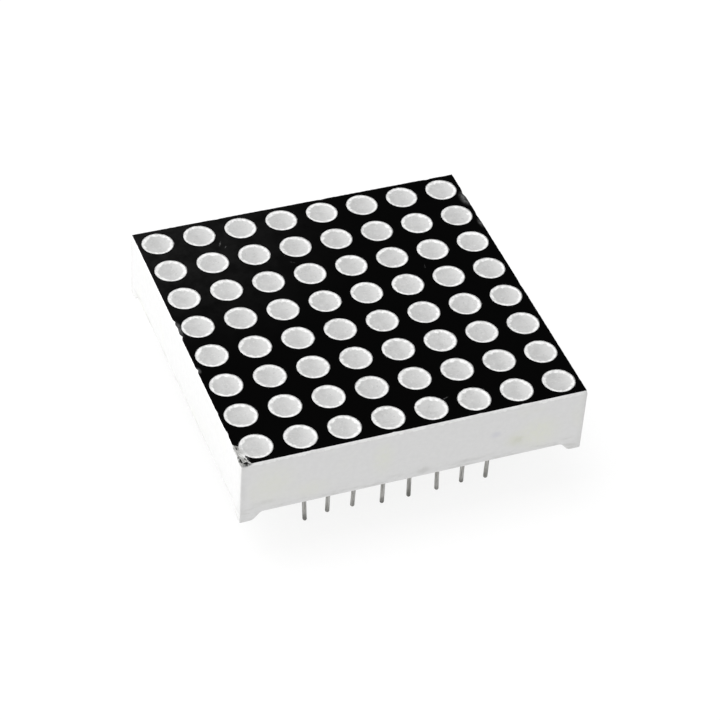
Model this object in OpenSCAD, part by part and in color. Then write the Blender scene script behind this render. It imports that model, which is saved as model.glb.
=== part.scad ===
// Square 8 x 8 LED dot matrix display with two rows of leads.
// Millimetres. The feet stand on z = 0, +Z goes out through the face, the leads
// point down, and the origin is midway between the two rows of leads.

/* [Dots] */
// Distance from one dot to the next, along a row and along a column
dot_pitch = 4; // [3.6:0.05:6]
// Diameter of a dot on the face
dot_d = 3; // [2.2:0.05:3.3]
// Width of the white flare round each cup's mouth
flare_w = 0.36; // [0.1:0.02:0.5]
// Depth of the flare
flare_h = 0.3; // [0.1:0.05:0.8]
// Diameter of a reflector cup where it meets the board
cup_base_d = 1.7; // [1.4:0.05:1.9]
// How far the cast resin sinks below the face at a dot's centre
resin_sag = 0.12; // [0.02:0.01:0.25]

/* [Housing] */
// Gap left between two displays that stand side by side at the dot pitch
tile_gap = 0.05; // [0.05:0.05:0.3]
// Height from the feet to the face
body_h = 6.8; // [5.6:0.1:12]
// Thickness of the skirt wall round the board
wall_t = 1; // [0.7:0.05:1.2]
// Radius of the four upright edges
corner_r = 0.1; // [0.1:0.05:0.6]
// Radius of the skirt's inner corners
cavity_r = 1; // [0.4:0.1:2]
// Bevel between the face and the sides
edge_break = 0.1; // [0.02:0.01:0.2]
// Height of the corner feet under the skirt
foot_h = 0.85; // [0.5:0.05:1.2]
// Length of a foot along the wall, on the line of its slope
foot_l = 1.2; // [0.8:0.05:2.5]
// Slope of a foot's flank, in degrees
foot_slope = 50; // [35:1:65]
// Radius that blends the flank into the foot and into the wall
foot_blend = 0.5; // [0.1:0.05:0.6]
// Largest diameter of the cored pockets between the cups
core_d = 2.2; // [1:0.1:2.4]
// Draft of the cored pockets, in degrees
core_draft = 6; // [2:0.5:8]
// Thickness of plastic left over each cored pocket
core_roof = 1.2; // [0.8:0.1:2]
// Diameter of the two pegs that locate the board
peg_d = 1.2; // [0.8:0.1:1.6]

/* [Face print] */
// Thickness of the black print
ink_t = 0.05; // [0.02:0.01:0.1]
// Length of the worn corner of the print, along the side edge
chip_l = 2.5; // [0.5:0.1:3]
// Width of the worn corner of the print, along the front edge
chip_w = 0.85; // [0.3:0.05:1.2]

/* [Board] */
// Thickness of the circuit board
board_t = 1; // [0.6:0.1:1.6]
// Thickness of the copper on both faces of the board
copper_t = 0.05; // [0.035:0.005:0.07]
// Width of a row track
track_w = 0.3; // [0.15:0.05:0.5]
// Thickness of the cast resin that seals the back of the board
seal_t = 0.6; // [0.5:0.05:1]
// Height from the skirt's lower edge up to the surface of the back resin
seal_recess = 0.5; // [0.2:0.05:1]

/* [Light emitting dice] */
// Side of a die
die_w = 0.3; // [0.2:0.02:0.36]
// Height of a die
die_h = 0.25; // [0.15:0.01:0.35]
// Diameter of the pad under a die
die_pad_d = 0.56; // [0.54:0.02:0.6]
// Diameter of the pad at a bond wire's far end
bond_pad_d = 0.28; // [0.2:0.02:0.3]
// Distance from a die's centre to its bond pad
bond_span = 0.54; // [0.5:0.01:0.58]
// Diameter of a bond wire
wire_d = 0.05; // [0.03:0.005:0.08]

/* [Leads] */
// Distance from one lead to the next in a row
lead_pitch = 2.54; // [2:0.01:3]
// Distance between the two rows of leads
lead_span = 25.4; // [20:0.1:26.4]
// Diameter of a lead
lead_d = 0.4; // [0.3:0.02:0.6]
// Length of a lead below the feet
lead_l = 4.85; // [2.5:0.05:8]
// Diameter of a lead's blunt end
lead_tip_d = 0.3; // [0.16:0.02:0.3]
// Height of the bevel at a lead's end
lead_tip_h = 0.1; // [0.05:0.05:0.4]
// Diameter of the solder land round a lead
land_d = 1.5; // [1.2:0.05:1.8]
// Diameter of a solder fillet on its land
fillet_d = 1.2; // [1:0.05:1.4]
// Height of a solder fillet
fillet_h = 0.32; // [0.1:0.02:0.4]

/* [Clearances] */
// Between the board's edge and the skirt
board_gap = 0.15; // [0.05:0.05:0.3]
// Round each peg in the board
peg_gap = 0.05; // [0.02:0.01:0.15]
// Round each lead's square root in the board
root_gap = 0.03; // [0.01:0.01:0.1]

/* [Hidden] */
ROWS = 8;
COLUMNS = 8;
LEADS = 16;
eps = 0.01;
$fn = 72;

body_side = COLUMNS * dot_pitch - tile_gap;
cavity_side = body_side - 2 * wall_t;
board_side = cavity_side - 2 * board_gap;
print_side = body_side - 2 * edge_break;
print_corner_r = max(corner_r - edge_break, 0.02);

seal_z = foot_h + seal_recess;
board_z = seal_z + seal_t;
board_top = board_z + board_t;
cup_z = board_top + copper_t;
die_top = cup_z + die_h;

mouth_r = dot_d / 2;
throat_r = mouth_r - flare_w;
meniscus_steps = 6;
arc_steps = 6;

hole_r = lead_d * sqrt(2) / 2 + root_gap;
land_t = copper_t;
fillet_z = board_z - land_t;

// Rows count from the front edge to the back, columns from left to right.
function column_x(column) = (column - (COLUMNS + 1) / 2) * dot_pitch;
function row_y(row) = (row - (ROWS + 1) / 2) * dot_pitch;

// A bond wire leads from its die towards the middle of the board.
function bond_side(row) = row <= ROWS / 2 ? 1 : -1;

// Leads count along the front row and back along the rear one.
function lead_in_row(lead) = lead <= LEADS / 2 ? lead : LEADS + 1 - lead;
function lead_x(lead) = (lead_in_row(lead) - (LEADS / 2 + 1) / 2) * lead_pitch;
function lead_y(lead) = (lead <= LEADS / 2 ? -1 : 1) * lead_span / 2;

function arc_points(centre, r, from, to) = [
    for (i = [0 : arc_steps])
        let (a = from + (to - from) * i / arc_steps)
            centre + r * [cos(a), sin(a)]
];

module at_leads() {
    for (lead = [1 : LEADS])
        translate([lead_x(lead), lead_y(lead), 0]) children();
}

// Side view of the housing. The skirt is cut away between its two feet, and each
// flank runs out of the foot and into the wall through a blend arc.
module side_profile() {
    half = body_side / 2;
    blend = foot_blend * tan(foot_slope / 2);
    foot_end = foot_l - blend;
    flank_top = foot_l + foot_h / tan(foot_slope) + blend;
    flank = concat(
        arc_points([foot_end, foot_blend], foot_blend, -90, -90 + foot_slope),
        arc_points([flank_top, foot_h - foot_blend], foot_blend,
                   90 + foot_slope, 90)
    );
    right = [for (p = flank) [half - p.x, p.y]];
    left = [for (i = [len(flank) - 1 : -1 : 0]) [flank[i].x - half, flank[i].y]];
    polygon(concat(
        [[half - edge_break, body_h], [half, body_h - edge_break], [half, 0]],
        right, left,
        [[-half, 0], [-half, body_h - edge_break], [edge_break - half, body_h]]
    ));
}

module rounded_square(side, r) {
    square([side, side - 2 * r], center = true);
    square([side - 2 * r, side], center = true);
    for (x = [-1, 1], y = [-1, 1])
        translate([x, y] * (side / 2 - r)) circle(r);
}

// Solid outer form: the side view along X and along Y, and the rounded plan.
module housing_form() {
    intersection() {
        rotate([90, 0, 0])
            linear_extrude(body_side, center = true) side_profile();
        rotate([90, 0, 90])
            linear_extrude(body_side, center = true) side_profile();
        linear_extrude(body_h) rounded_square(body_side, corner_r);
    }
}

// Half section of a cup from its base at the board to its flared mouth.
function cup_section(top) = [
    [0, cup_z], [cup_base_d / 2, cup_z], [throat_r, body_h - flare_h],
    [mouth_r, body_h], [mouth_r, top], [0, top]
];

module cup_space() {
    rotate_extrude() polygon(cup_section(body_h + eps));
}

// Cored pockets lie where four cups leave room, except where a peg stands.
module core_pockets() {
    depth = body_h - core_roof - cup_z;
    for (i = [1 : COLUMNS - 1], j = [1 : ROWS - 1])
        if (!(j == ROWS / 2 && (i == 1 || i == COLUMNS - 1)))
            translate([column_x(i) + dot_pitch / 2, row_y(j) + dot_pitch / 2, cup_z - eps])
                cylinder(h = depth + eps, d1 = core_d,
                         d2 = core_d - 2 * depth * tan(core_draft));
}

module at_pegs() {
    for (side = [-1, 1])
        translate([side * (column_x(COLUMNS) - dot_pitch / 2), 0, 0]) children();
}

module housing() {
    color("whitesmoke") {
        difference() {
            housing_form();
            translate([0, 0, -eps])
                linear_extrude(cup_z + eps) rounded_square(cavity_side, cavity_r);
            core_pockets();
            for (row = [1 : ROWS], column = [1 : COLUMNS])
                translate([column_x(column), row_y(row), 0]) cup_space();
        }
        at_pegs() translate([0, 0, board_z]) cylinder(h = cup_z + eps - board_z, d = peg_d);
    }
}

// Black ink over the whole face but the dots, worn away beside the front left dot.
module face_print() {
    half = print_side / 2;
    color([0.02, 0.02, 0.02])
        translate([0, 0, body_h]) linear_extrude(ink_t)
            difference() {
                rounded_square(print_side, print_corner_r);
                for (row = [1 : ROWS], column = [1 : COLUMNS])
                    translate([column_x(column), row_y(row)]) circle(mouth_r);
                translate([-half, -half])
                    polygon([[-eps, -eps], [chip_w, -eps], [chip_w * 0.76, chip_l * 0.26],
                             [chip_w * 0.76, chip_l * 0.42], [chip_w * 0.55, chip_l * 0.88],
                             [-eps, chip_l]]);
            }
}

module circuit_board() {
    color("darkgreen")
        translate([0, 0, board_z]) linear_extrude(board_t)
            difference() {
                rounded_square(board_side, cavity_r);
                at_leads() circle(hole_r);
                at_pegs() circle(peg_d / 2 + peg_gap);
            }
}

// One track for each row, widened to a round pad under each die.
module row_tracks() {
    color("peru")
        translate([0, 0, board_top]) linear_extrude(copper_t)
            for (row = [1 : ROWS]) translate([0, row_y(row)]) {
                square([column_x(COLUMNS) - column_x(1), track_w], center = true);
                for (column = [1 : COLUMNS])
                    translate([column_x(column), 0]) circle(d = die_pad_d);
            }
}

module bond_pads() {
    color("gold")
        for (row = [1 : ROWS], column = [1 : COLUMNS])
            translate([column_x(column), row_y(row) + bond_side(row) * bond_span, board_top])
                cylinder(h = copper_t, d = bond_pad_d);
}

module led_die() {
    translate([-die_w / 2, -die_w / 2, cup_z]) cube([die_w, die_w, die_h]);
}

// A half ring from the top of the die, and a straight leg down to the bond pad.
module bond_wire() {
    translate([0, bond_span / 2, die_top]) rotate([90, 0, 90])
        rotate_extrude(angle = 180) translate([bond_span / 2, 0]) circle(d = wire_d);
    translate([0, bond_span, cup_z]) cylinder(h = die_h, d = wire_d);
}

module led_dice_row(row) {
    color("khaki")
        for (column = [1 : COLUMNS])
            translate([column_x(column), row_y(row), 0]) led_die();
}

module bond_wires_row(row) {
    color("goldenrod")
        for (column = [1 : COLUMNS])
            translate([column_x(column), row_y(row), 0])
                scale([1, bond_side(row), 1]) bond_wire();
}

// Resin cast in a cup: it wets the rim and sinks a little towards the middle.
module resin_dot() {
    meniscus = [
        for (i = [meniscus_steps : -1 : 0])
            let (r = mouth_r * i / meniscus_steps)
                [r, body_h - resin_sag * (1 - pow(r / mouth_r, 2))]
    ];
    rotate_extrude()
        polygon(concat(
            [[0, cup_z], [cup_base_d / 2, cup_z], [throat_r, body_h - flare_h]],
            meniscus
        ));
}

module resin_dots_row(row) {
    color("gainsboro")
        for (column = [1 : COLUMNS])
            translate([column_x(column), row_y(row), 0])
                difference() {
                    resin_dot();
                    led_die();
                    scale([1, bond_side(row), 1]) bond_wire();
                }
}

module solder_land() {
    translate([0, 0, fillet_z])
        linear_extrude(land_t) difference() {
            circle(d = land_d);
            circle(hole_r);
        }
}

// A fillet on the land, and the solder that fills the hole above it.
module solder_form() {
    translate([0, 0, fillet_z - fillet_h])
        cylinder(h = fillet_h, d1 = 2 * hole_r + copper_t, d2 = fillet_d);
    translate([0, 0, fillet_z - eps])
        cylinder(h = board_top - fillet_z + eps, r = hole_r);
}

module lead_root() {
    translate([-lead_d / 2, -lead_d / 2, seal_z])
        cube([lead_d, lead_d, board_top - seal_z]);
}

module solder_lands() {
    color("peru") at_leads() solder_land();
}

module solder_joints() {
    color("silver") at_leads() difference() {
        solder_form();
        lead_root();
    }
}

// Cast over the back of the board, round the solder and the roots of the leads.
module back_resin() {
    color("beige")
        difference() {
            translate([0, 0, seal_z])
                linear_extrude(seal_t) rounded_square(cavity_side, cavity_r);
            at_leads() {
                solder_land();
                solder_form();
                lead_root();
            }
        }
}

// Square root through the board and its resin, round shank, blunt bevelled end.
module lead(number) {
    color("silver")
        translate([lead_x(number), lead_y(number), 0]) {
            lead_root();
            translate([0, 0, lead_tip_h - lead_l])
                cylinder(h = lead_l - lead_tip_h + seal_z, d = lead_d);
            translate([0, 0, -lead_l])
                cylinder(h = lead_tip_h, d1 = lead_tip_d, d2 = lead_d);
        }
}

housing();
face_print();
circuit_board();
row_tracks();
bond_pads();
solder_lands();
solder_joints();
back_resin();
for (row = [1 : ROWS]) {
    led_dice_row(row);
    bond_wires_row(row);
    resin_dots_row(row);
}
for (number = [1 : LEADS])
    lead(number);
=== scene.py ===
import math

import bmesh
import bpy
import numpy as np
from mathutils import Matrix, Vector, noise
from mathutils.geometry import delaunay_2d_cdt


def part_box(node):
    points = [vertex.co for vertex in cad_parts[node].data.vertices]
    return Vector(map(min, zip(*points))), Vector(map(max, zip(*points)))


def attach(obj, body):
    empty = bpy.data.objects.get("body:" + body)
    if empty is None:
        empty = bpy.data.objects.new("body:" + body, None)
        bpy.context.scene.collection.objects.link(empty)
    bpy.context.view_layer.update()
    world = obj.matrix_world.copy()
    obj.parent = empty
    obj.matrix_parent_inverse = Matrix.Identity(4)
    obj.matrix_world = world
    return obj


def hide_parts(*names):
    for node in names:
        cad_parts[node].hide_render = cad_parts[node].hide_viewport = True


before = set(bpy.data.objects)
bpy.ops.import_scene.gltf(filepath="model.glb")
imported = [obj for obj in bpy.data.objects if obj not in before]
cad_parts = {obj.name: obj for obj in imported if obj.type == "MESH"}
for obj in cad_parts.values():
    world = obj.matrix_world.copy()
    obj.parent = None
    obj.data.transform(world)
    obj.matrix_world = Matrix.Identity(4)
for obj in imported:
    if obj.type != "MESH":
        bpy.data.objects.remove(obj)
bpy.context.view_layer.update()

mm = 0.001
body = "root"
rows = 8
firstRow = "resin_dots_row_1"
dotNodes = [f"resin_dots_row_{i + 1}" for i in range(rows)]
leadNodes = [f"lead_{i + 1}" for i in range(16)]

print("stage: sizes from the frame")


def boxMm(node):
    low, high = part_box(node)
    return low / mm, high / mm


def centreMm(node):
    low, high = boxMm(node)
    return (low + high) / 2


housingLow, housingHigh = boxMm("housing")
half = housingHigh.x  # half the side of the housing
faceZ = housingHigh.z  # the white face under the print
printTop = boxMm("face_print")[1].z
printHalf = boxMm("face_print")[1].x
cupZ = boxMm(firstRow)[0].z
dotRadius = (boxMm(firstRow)[1].y - boxMm(firstRow)[0].y) / 2
pitch = centreMm(dotNodes[1]).y - centreMm(dotNodes[0]).y
boardLow, boardHigh = boxMm("circuit_board")
sealZ = boxMm("back_resin")[0].z
cavityHalf = boxMm("back_resin")[1].x
leadSpots = [centreMm(name) for name in leadNodes]
leadTipZ = boxMm("lead_1")[0].z
leadRadius = (boxMm("lead_1")[1].x - boxMm("lead_1")[0].x) / 2
rootCorner = leadRadius * math.sqrt(2)


# helpers for meshes and node trees
def placeObject(name, mesh, material=None):
    piece = bpy.data.objects.new(name, mesh)
    bpy.context.scene.collection.objects.link(piece)
    if material:
        mesh.materials.clear()
        mesh.materials.append(material)
    return piece


def meshFrom(name, points, faces, edges=()):
    mesh = bpy.data.meshes.new(name)
    mesh.from_pydata([tuple(c * mm for c in p) for p in points], list(edges), faces)
    mesh.update()
    return mesh


def smoothUnder(mesh, degrees):
    mesh.polygons.foreach_set("use_smooth", [True] * len(mesh.polygons))
    mesh.set_sharp_from_angle(angle=math.radians(degrees))


def closedMesh(name, shell, degrees):
    mesh = meshFrom(name, shell.points, shell.faces)
    work = bmesh.new()
    work.from_mesh(mesh)
    bmesh.ops.recalc_face_normals(work, faces=work.faces)
    openEdges = sum(1 for e in work.edges if len(e.link_faces) != 2)
    print(name, "faces", len(work.faces), "open edges", openEdges)
    work.to_mesh(mesh)
    work.free()
    smoothUnder(mesh, degrees)
    return mesh


def addNode(tree, kind, *given, **settings):
    node = tree.nodes.new(kind)
    named = {k: settings.pop(k) for k in list(settings) if k[0].isupper()}
    for key, value in settings.items():
        setattr(node, key, value)
    pairs = [(node.inputs[i], v) for i, v in enumerate(given) if v is not None]
    pairs += [(node.inputs[k.replace("_", " ")], v) for k, v in named.items()]
    for socket, value in pairs:
        if isinstance(value, bpy.types.NodeSocket):
            tree.links.new(value, socket)
        else:
            socket.default_value = value
    return node


def calc(tree, operation, *values):
    return addNode(tree, "ShaderNodeMath", *values, operation=operation).outputs[0]


def vectorCalc(tree, operation, *values, **named):
    node = addNode(tree, "ShaderNodeVectorMath", *values, operation=operation, **named)
    return node.outputs[1 if operation in ("DISTANCE", "LENGTH") else 0]


def ease(tree, value, start, end, low=0.0, high=1.0, kind="SMOOTHSTEP"):
    return addNode(tree, "ShaderNodeMapRange", value, start, end, low, high,
                   interpolation_type=kind).outputs[0]


def mixColour(tree, factor, first, second, blend="MIX"):
    node = tree.nodes.new("ShaderNodeMix")
    node.data_type, node.blend_type = "RGBA", blend
    for socket, value in ((0, factor), (6, first), (7, second)):
        if isinstance(value, bpy.types.NodeSocket):
            tree.links.new(value, node.inputs[socket])
        else:
            node.inputs[socket].default_value = value if socket == 0 else (*value, 1)
    return node.outputs[2]


def grain(tree, coords, scale, detail=2.0, roughness=0.5):
    return addNode(tree, "ShaderNodeTexNoise", coords, None, scale, detail,
                   roughness).outputs["Fac"]


def times(tree, first, second):
    return calc(tree, "MULTIPLY", first, second)


def reachOf(tree, x, y):
    return calc(tree, "SQRT", calc(tree, "ADD", times(tree, x, x), times(tree, y, y)))


def vectorOf(tree, x, y, z):
    return addNode(tree, "ShaderNodeCombineXYZ", x, y, z).outputs[0]


def partsOf(tree, vector):
    return addNode(tree, "ShaderNodeSeparateXYZ", vector).outputs[:3]


def moveBy(tree, coords, offset):
    return vectorCalc(tree, "ADD", coords, offset)


def stretch(tree, coords, size, centre=(0, 0, 0), angle=0.0):
    return addNode(tree, "ShaderNodeMapping", coords, centre, (0, 0, angle), size,
                   vector_type="TEXTURE").outputs[0]


def quarterTurns(count):
    return np.linalg.matrix_power(np.array([[0, -1], [1, 0]]), count)


# materials: every pattern reads Object coordinates, in millimetres
def startMaterial(name, finish):
    material = bpy.data.materials.new(name)
    material.use_nodes = True
    tree = material.node_tree
    shader = tree.nodes["Principled BSDF"]
    for key, value in finish.items():
        shader.inputs[key].default_value = value
    place = addNode(tree, "ShaderNodeTexCoord").outputs["Object"]
    coords = vectorCalc(tree, "SCALE", place, Scale=1 / mm)
    return material, tree, shader, coords


def finishMaterial(tree, shader, colour=None, roughness=None, height=None,
                   depth=0.01, strength=1.0):
    if colour:
        tree.links.new(colour, shader.inputs["Base Color"])
    if roughness:
        tree.links.new(roughness, shader.inputs["Roughness"])
    if height:
        bump = addNode(tree, "ShaderNodeBump", Strength=strength, Distance=depth * mm,
                       Height=height)
        tree.links.new(bump.outputs[0], shader.inputs["Normal"])


def spotMask(tree, coords, centre, size, angle=0.0, edge=0.5):
    mapped = stretch(tree, coords, size, centre, angle)
    return ease(tree, vectorCalc(tree, "LENGTH", mapped), edge, 1.0, 1.0, 0.0)


whitePlasticLook = {
    "base": (0.776, 0.776, 0.774), "warm": (0.775, 0.780, 0.735),
    "grime": (0.58, 0.58, 0.565), "worn": (0.70, 0.70, 0.695),
    "spots": [  # place, reach, tone, share: warm patches, a gate mark, smudges
        ((-13.0, -15.9, 3.9), (2.9, 3, 3.2), (0.775, 0.785, 0.715), 0.62),
        ((-9.6, -15.9, 2.3), (2.6, 3, 1.5), (0.775, 0.783, 0.715), 0.55),
        ((-3.0, -15.9, 4.0), (1.5, 3, 2.6), (0.77, 0.785, 0.70), 0.6),
        ((11.6, -15.9, 3.0), (2.9, 3, 2.6), (0.775, 0.79, 0.695), 0.75),
        ((9.45, -15.9, 2.75), (1.5, 3, 1.3), (0.735, 0.742, 0.665), 0.8),
        ((9.75, -15.9, 2.6), (0.75, 3, 0.75), (0.66, 0.67, 0.585), 0.75),
        ((7.5, -15.9, 3.9), (0.75, 3, 0.6), (0.675, 0.675, 0.715), 0.85),
        ((0.9, -15.9, 1.5), (0.8, 3, 0.6), (0.56, 0.56, 0.55), 0.6),
        ((4.9, -15.9, 1.5), (1.4, 3, 0.35), (0.55, 0.55, 0.54), 0.5),
        ((-13.6, -15.9, 1.9), (1.8, 3, 0.4), (0.60, 0.60, 0.58), 0.4),
        ((-15.9, -5.5, 2.5), (3, 12, 1.8), (0.735, 0.735, 0.73), 0.5)],
    # The edge colour is a painted highlight: it lightens the walls just under the rounded top edge,
    # where the light catches.
    "edge": (0.93, 0.93, 0.925), "highlightFrom": 6.46, "highlightTo": 6.6,
    "cornerMarks": [((-15.68, -14.3, 6.8), (0.5, 1.7, 0.45), (0.29, 0.29, 0.28), 1.0),
             ((-15.60, -13.7, 6.8), (0.5, 0.6, 0.3), (0.13, 0.13, 0.12), 0.9),
             ((-15.55, -15.45, 6.8), (0.7, 0.75, 0.45), (0.22, 0.22, 0.21), 1.0),
             # The last two darken the outer edges of the corner to near black.
             ((-15.86, -15.2, 6.75), (0.2, 0.95, 0.35), (0.05, 0.05, 0.045), 1.0),
             ((-15.45, -15.84, 6.75), (0.75, 0.2, 0.3), (0.02, 0.02, 0.018), 1.0)],
}


def whitePlasticMaterial(look):
    material, tree, shader, coords = startMaterial("whitePlastic", {
        "Specular IOR Level": 0.4, "IOR": 1.5})
    patch = ease(tree, grain(tree, coords, 0.28, 3), 0.55, 0.75, 0, 0.6)
    colour = mixColour(tree, patch, look["base"], look["warm"])
    fine = ease(tree, grain(tree, coords, 2.2, 4), 0.35, 0.65, 0.97, 1.0, "LINEAR")
    colour = mixColour(tree, 1.0, colour, fine, "MULTIPLY")
    for place, size, tone, share in look["spots"]:
        mask = spotMask(tree, coords, place, size, edge=0.1)
        mask = times(tree, mask, ease(tree, grain(tree, coords, 2.0, 4, 0.6), 0.3, 0.6,
                                      share * 0.45, share))
        colour = mixColour(tree, mask, colour, tone)
    x, y, height = partsOf(tree, coords)
    streaks = stretch(tree, coords, (1.6, 1.6, 0.45))
    low = times(tree, ease(tree, height, 2.1, 0.9),
                ease(tree, grain(tree, streaks, 1.0, 5, 0.6), 0.45, 0.7, 0.05, 0.7))
    colour = mixColour(tree, low, colour, look["grime"])
    # Painted highlight: the edge colour lightens the tops of the walls under the rounded top edge,
    # with a wavering lower border.
    rough = calc(tree, "MULTIPLY_ADD", grain(tree, coords, 2.6, 4, 0.6), 0.6, -0.3)
    top = times(tree, ease(tree, calc(tree, "ADD", height, rough), look["highlightFrom"],
                           look["highlightTo"]),
                ease(tree, grain(tree, coords, 1.1, 3, 0.6), 0.3, 0.6, 0.35, 1.0))
    colour = mixColour(tree, top, colour, look["edge"])
    # Darker towards the vertical corners of the housing.
    upright = calc(tree, "MINIMUM", calc(tree, "ABSOLUTE", x), calc(tree, "ABSOLUTE", y))
    upright = times(tree, ease(tree, upright, half - 0.75, half - 0.1),
                    ease(tree, grain(tree, coords, 1.4, 4, 0.6), 0.3, 0.65, 0.25, 0.9))
    colour = mixColour(tree, upright, colour, look["worn"])
    slant = stretch(tree, coords, (1.0, 0.3, 1.0), angle=math.radians(-70))
    rubbed = ease(tree, grain(tree, slant, 2.4, 4, 0.65), 0.40, 0.62, 1.0, 0.5)
    for place, size, tone, share in look["cornerMarks"]:
        mask = spotMask(tree, coords, place, size, edge=0.25)
        mask = times(tree, mask, times(tree, rubbed, share))
        colour = mixColour(tree, mask, colour, tone)
    roughness = ease(tree, grain(tree, coords, 1.3, 3), 0.3, 0.7, 0.36, 0.5, "LINEAR")
    flow = stretch(tree, coords, (3.0, 3.0, 0.5))
    relief = calc(tree, "ADD", grain(tree, coords, 7.0, 4),
                  times(tree, grain(tree, flow, 1.4, 2), 0.7))
    finishMaterial(tree, shader, colour, roughness, relief, 0.012, 0.55)
    return material


blackInkLook = {
    # The lighter ink colour serves for dust specks and for a painted sheen, strongest at the
    # back-left corner.
    "base": (0.0006, 0.0006, 0.0006), "dustAndSheen": (0.0085, 0.0085, 0.0085),
    "sheenCentre": (-14, 15, 6.85), "sheenReach": 20,
    "scratches": [((-8.55, 12.3, 6.85), (0.5, 0.1, 1), 62),
                  ((-8.2, 11.75, 6.85), (0.3, 0.06, 1), 50),
                  ((3.6, -13.2, 6.85), (0.5, 0.05, 1), 20),
                  ((-3.0, 7.9, 6.85), (0.35, 0.05, 1), -35),
                  ((8.4, 3.9, 6.85), (0.28, 0.04, 1), 78)],
    "scratchTone": (0.09, 0.09, 0.09),
    # The two marks on the right edge are a painted reflection on the ink; the rest are scuffs.
    "scuffsAndSheen": [((15.8, 12.1, 6.85), (0.75, 1.3, 1), 0.9),
               ((15.8, 8.3, 6.85), (0.4, 0.9, 1), 0.55),
               ((-15.75, 2.1, 6.85), (0.42, 1.4, 1), 0.8),
               ((-15.75, -3.6, 6.85), (0.3, 0.5, 1), 0.6),
               ((-15.4, -15.2, 6.85), (0.5, 0.8, 1), 0.5)],
    "scuffAndSheenTone": (0.13, 0.13, 0.13),
}


def blackInkMaterial(look):
    material, tree, shader, coords = startMaterial("blackInk", {
        "Specular IOR Level": 0.015, "IOR": 1.45})
    # Painted sheen: the ink lightens towards the back-left corner, where the light would reflect
    # off it.
    away = vectorCalc(tree, "DISTANCE", coords, look["sheenCentre"])
    paintedSheen = times(tree, ease(tree, away, look["sheenReach"], 0),
                  ease(tree, grain(tree, coords, 0.8, 6, 0.7), 0.3, 0.7, 0.35, 1.2))
    colour = mixColour(tree, paintedSheen, look["base"], look["dustAndSheen"])
    specks = ease(tree, grain(tree, coords, 9.0, 2), 0.7, 0.78, 0, 0.25)
    colour = mixColour(tree, specks, colour, look["dustAndSheen"])
    for place, size, turn in look["scratches"]:
        mask = spotMask(tree, coords, place, size, math.radians(turn), 0.3)
        mask = times(tree, mask, ease(tree, grain(tree, coords, 6, 2), 0.4, 0.6))
        colour = mixColour(tree, mask, colour, look["scratchTone"])
    # Scuffs, and on the right edge a painted reflection.
    for place, size, share in look["scuffsAndSheen"]:
        mask = spotMask(tree, coords, place, size, edge=0.25)
        mask = times(tree, mask,
                     ease(tree, grain(tree, coords, 2.4, 5, 0.65), 0.36, 0.62, 0.15, share))
        colour = mixColour(tree, mask, colour, look["scuffAndSheenTone"])
    roughness = ease(tree, grain(tree, coords, 1.6, 4), 0.3, 0.7, 0.42, 0.6, "LINEAR")
    relief = calc(tree, "ADD", grain(tree, coords, 5.0, 5, 0.6),
                  times(tree, grain(tree, coords, 26.0, 2), 0.4))
    finishMaterial(tree, shader, colour, roughness, relief, 0.012, 0.6)
    return material


milkyResinLook = {
    "core": (0.520, 0.520, 0.517), "shade": (0.465, 0.465, 0.462),
    # lift is the lighter tone of the specks and of the painted light on the +X side of each dot.
    "rim": (0.86, 0.86, 0.855), "rimDull": (0.66, 0.66, 0.655), "lift": (0.63, 0.63, 0.625),
    "pit": (0.33, 0.33, 0.33), "rimStart": 1.07, "rimEnd": 1.27, "rimWaver": 0.75,
    "stainPlace": (-15.42, -14.3, 6.8), "stainSize": (0.5, 1.15, 0.5),
    "stain": (0.40, 0.40, 0.395),
}


def milkyResinMaterial(look):
    material, tree, shader, coords = startMaterial("milkyResin", {
        "Specular IOR Level": 0.35, "IOR": 1.5})
    reach, across, tone = (
        addNode(tree, "ShaderNodeAttribute", attribute_name=label).outputs["Fac"]
        for label in ("rimReach", "across", "tone"))
    cloud = ease(tree, grain(tree, coords, 1.3, 5, 0.65), 0.36, 0.66)
    colour = mixColour(tree, cloud, look["core"], look["shade"])
    # Painted light: each dot is lighter towards its +X side, as light from the left would leave it.
    colour = mixColour(tree, ease(tree, across, -0.2, 1.25, 0, 0.75), colour, look["lift"])
    specks = ease(tree, grain(tree, coords, 4.6, 4, 0.65), 0.56, 0.68, 0, 0.7)
    colour = mixColour(tree, specks, colour, look["lift"])
    pits = ease(tree, grain(tree, moveBy(tree, coords, (31, 7, 3)), 5.6, 3, 0.6),
                0.61, 0.70, 0, 0.6)
    colour = mixColour(tree, pits, colour, look["pit"])
    waver = calc(tree, "MULTIPLY_ADD", grain(tree, coords, 1.9, 4, 0.6), look["rimWaver"],
                 -look["rimWaver"] / 2)
    rim = ease(tree, calc(tree, "ADD", reach, waver), look["rimStart"], look["rimEnd"])
    dull = ease(tree, grain(tree, moveBy(tree, coords, (5, 19, 2)), 2.4, 4, 0.6), 0.42, 0.62)
    colour = mixColour(tree, rim, colour, mixColour(tree, dull, look["rim"], look["rimDull"]))
    stain = spotMask(tree, coords, look["stainPlace"], look["stainSize"], edge=0.15)
    colour = mixColour(tree, times(tree, stain, 0.85), colour, look["stain"])
    colour = mixColour(tree, 1.0, colour, calc(tree, "ADD", tone, 1.0), "MULTIPLY")
    roughness = ease(tree, grain(tree, coords, 3.0, 3), 0.3, 0.7, 0.28, 0.44, "LINEAR")
    finishMaterial(tree, shader, colour, roughness, grain(tree, coords, 4.0, 5, 0.65),
                   0.03, 0.6)
    return material


tinnedLook = {"bright": (0.46, 0.455, 0.44), "dull": (0.22, 0.218, 0.205),
              "tip": (0.12, 0.118, 0.11), "tipStart": -3.2, "tipEnd": -4.9}


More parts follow.
